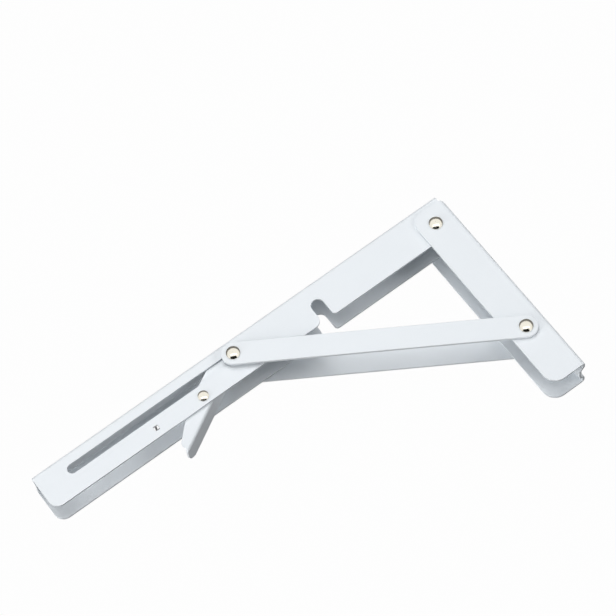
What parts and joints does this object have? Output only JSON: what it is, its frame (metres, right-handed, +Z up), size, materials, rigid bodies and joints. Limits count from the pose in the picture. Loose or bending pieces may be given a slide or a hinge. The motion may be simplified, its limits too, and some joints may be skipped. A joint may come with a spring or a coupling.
{
  "type": "folding shelf bracket",
  "caption": "Folding shelf bracket: channel arm on a channel wall leg, braced by flat struts whose pin slides in slots in the arm and is held open by a sprung release lever.",
  "frame": {"origin": "middle wall screw hole, at the back of the groove's floor, 2.5 mm in front of the wall's face", "axes": "+X out from the wall along the arm, +Y across the bracket, +Z up; the wall is the plane X = -2.5 mm"},
  "size_m": [0.3, 0.0352, 0.1432],
  "materials": {
    "white_coat": "semi-gloss white powder coat",
    "nickel": "polished nickel plate",
    "zinc": "bright zinc plate",
    "spring_steel": "bright drawn wire"
  },
  "bodies": {
    "wall_leg": {"wall_leg": "white_coat", "corner_rivet": "nickel", "pivot_tube": "zinc"},
    "shelf_arm": {"shelf_arm": "white_coat", "corner_tube": "zinc", "lever_rivet": "nickel", "lever_tube": "zinc", "lever_spring": "spring_steel"},
    "struts": {"strut_front": "white_coat", "strut_back": "white_coat", "pivot_rivet": "nickel", "slot_pin_head_front": "nickel", "slot_pin_head_back": "nickel"},
    "slider": {"slot_pin": "nickel", "spacer_front": "zinc", "spacer_back": "zinc"},
    "release_lever": {"release_lever": "white_coat"}
  },
  "joints": [
    {"name": "fold", "type": "hinge", "parent": "wall_leg", "child": "shelf_arm", "pos_m": [0.01055, 0, 0.066], "axis": [0, 1, 0], "range_deg": [0, 90]},
    {"name": "strut_swing", "type": "hinge", "parent": "wall_leg", "child": "struts", "pos_m": [0.01055, 0, -0.0222], "axis": [0, 1, 0], "range_deg": [0, 120.8]},
    {"name": "pin_slide", "type": "slide", "parent": "shelf_arm", "child": "slider", "axis": [1, 0, 0], "range_m": [0, 0.1155]},
    {"name": "lever_press", "type": "hinge", "parent": "shelf_arm", "child": "release_lever", "pos_m": [0.18715, 0, 0.0614], "axis": [0, -1, 0], "range_deg": [0, 27], "stiffness_Nm_per_rad": 0.05, "springref_deg": -34.38, "deforming": ["lever_spring"]}
  ],
  "couplings": [
    {"joint": "strut_swing", "follows": "fold", "ratio": 1.3409},
    {"joint": "pin_slide", "follows": "fold", "m_per_rad": 0.073437}
  ]
}
